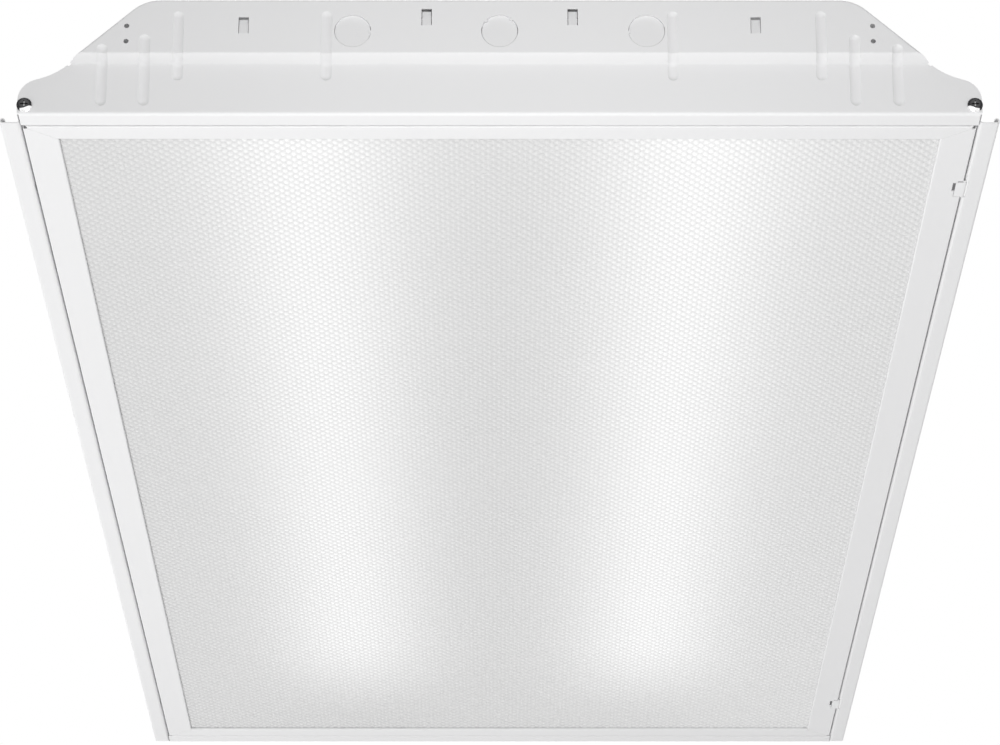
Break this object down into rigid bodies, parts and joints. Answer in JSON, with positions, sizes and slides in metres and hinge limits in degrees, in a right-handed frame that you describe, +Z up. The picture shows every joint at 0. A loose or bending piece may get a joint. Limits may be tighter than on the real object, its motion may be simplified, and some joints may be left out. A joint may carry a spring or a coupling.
{
  "type": "recessed troffer light",
  "caption": "Recessed ceiling troffer light with a hinged prismatic lens door, cam latches, twin tube lamps and a ballast under a wireway cover.",
  "frame": {"origin": "middle of the face plane, under the middle of the light's box", "axes": "+X across the light towards the latch side, +Y along it, +Z up into the ceiling void"},
  "size_m": [0.6032, 1.2166, 0.0768],
  "materials": {
    "white_enamel": "baked white enamel, semi-gloss",
    "latch_white": "baked white enamel, semi-gloss",
    "dark_screw": "dark bright plating",
    "zinc_steel": "zinc plated steel",
    "spring_steel": "bright spring steel",
    "green_screw": "green coated",
    "ballast_black": "black painted can",
    "lead_insulation": "white wire insulation",
    "socket_plastic": "white moulded",
    "rotor_plastic": "white moulded",
    "cap_aluminium": "drawn lamp cap",
    "brass_pin": "contact pins",
    "acrylic": "clear prismatic acrylic, pattern face down",
    "lamp_glass": "phosphor coated glass, lit"
  },
  "bodies": {
    "housing": {"housing_pan": "white_enamel", "end_plate_front": "white_enamel", "end_plate_rear": "white_enamel", "end_plate_screws": "dark_screw", "access_plate": "white_enamel", "access_plate_screw": "zinc_steel", "ground_screw": "green_screw", "ballast": "ballast_black", "ballast_screws": "zinc_steel", "ballast_cover": "white_enamel", "cover_keepers": "white_enamel", "socket_leads_rear": "lead_insulation", "socket_leads_front": "lead_insulation", "lamp_sockets_rear": "socket_plastic", "lamp_sockets_front": "socket_plastic", "hinge_brackets": "white_enamel"},
    "door": {"door_side_rail_left": "white_enamel", "door_side_rail_right": "white_enamel", "door_end_rail_rear": "white_enamel", "door_end_rail_front": "white_enamel", "door_corner_gussets": "zinc_steel", "lens": "acrylic", "lens_clips": "spring_steel", "hinge_knuckles": "white_enamel", "hinge_pins": "zinc_steel", "latch_pins": "zinc_steel"},
    "latch_front": {"cam_latch_front": "latch_white"},
    "latch_rear": {"cam_latch_rear": "latch_white"},
    "lamp_left": {"lamp_tube_left": "lamp_glass", "lamp_caps_left": "cap_aluminium", "lamp_pins_left": "brass_pin", "socket_rotors_left": "rotor_plastic"},
    "lamp_right": {"lamp_tube_right": "lamp_glass", "lamp_caps_right": "cap_aluminium", "lamp_pins_right": "brass_pin", "socket_rotors_right": "rotor_plastic"}
  },
  "joints": [
    {"name": "door_hinge", "type": "hinge", "parent": "housing", "child": "door", "pos_m": [-0.28182, 0, 0.0036], "axis": [0, 1, 0], "range_deg": [0, 95]},
    {"name": "latch_front_turn", "type": "hinge", "parent": "door", "child": "latch_front", "pos_m": [0.28932, -0.5008, 0.0016], "axis": [0, -1, 0], "range_deg": [0, 80]},
    {"name": "latch_rear_turn", "type": "hinge", "parent": "door", "child": "latch_rear", "pos_m": [0.28932, 0.5008, 0.0016], "axis": [0, -1, 0], "range_deg": [0, 80]},
    {"name": "lamp_left_turn", "type": "hinge", "parent": "housing", "child": "lamp_left", "pos_m": [-0.12, 0, 0.0532], "axis": [0, 1, 0], "range_deg": [0, 90]},
    {"name": "lamp_right_turn", "type": "hinge", "parent": "housing", "child": "lamp_right", "pos_m": [0.12, 0, 0.0532], "axis": [0, 1, 0], "range_deg": [0, 90]}
  ]
}
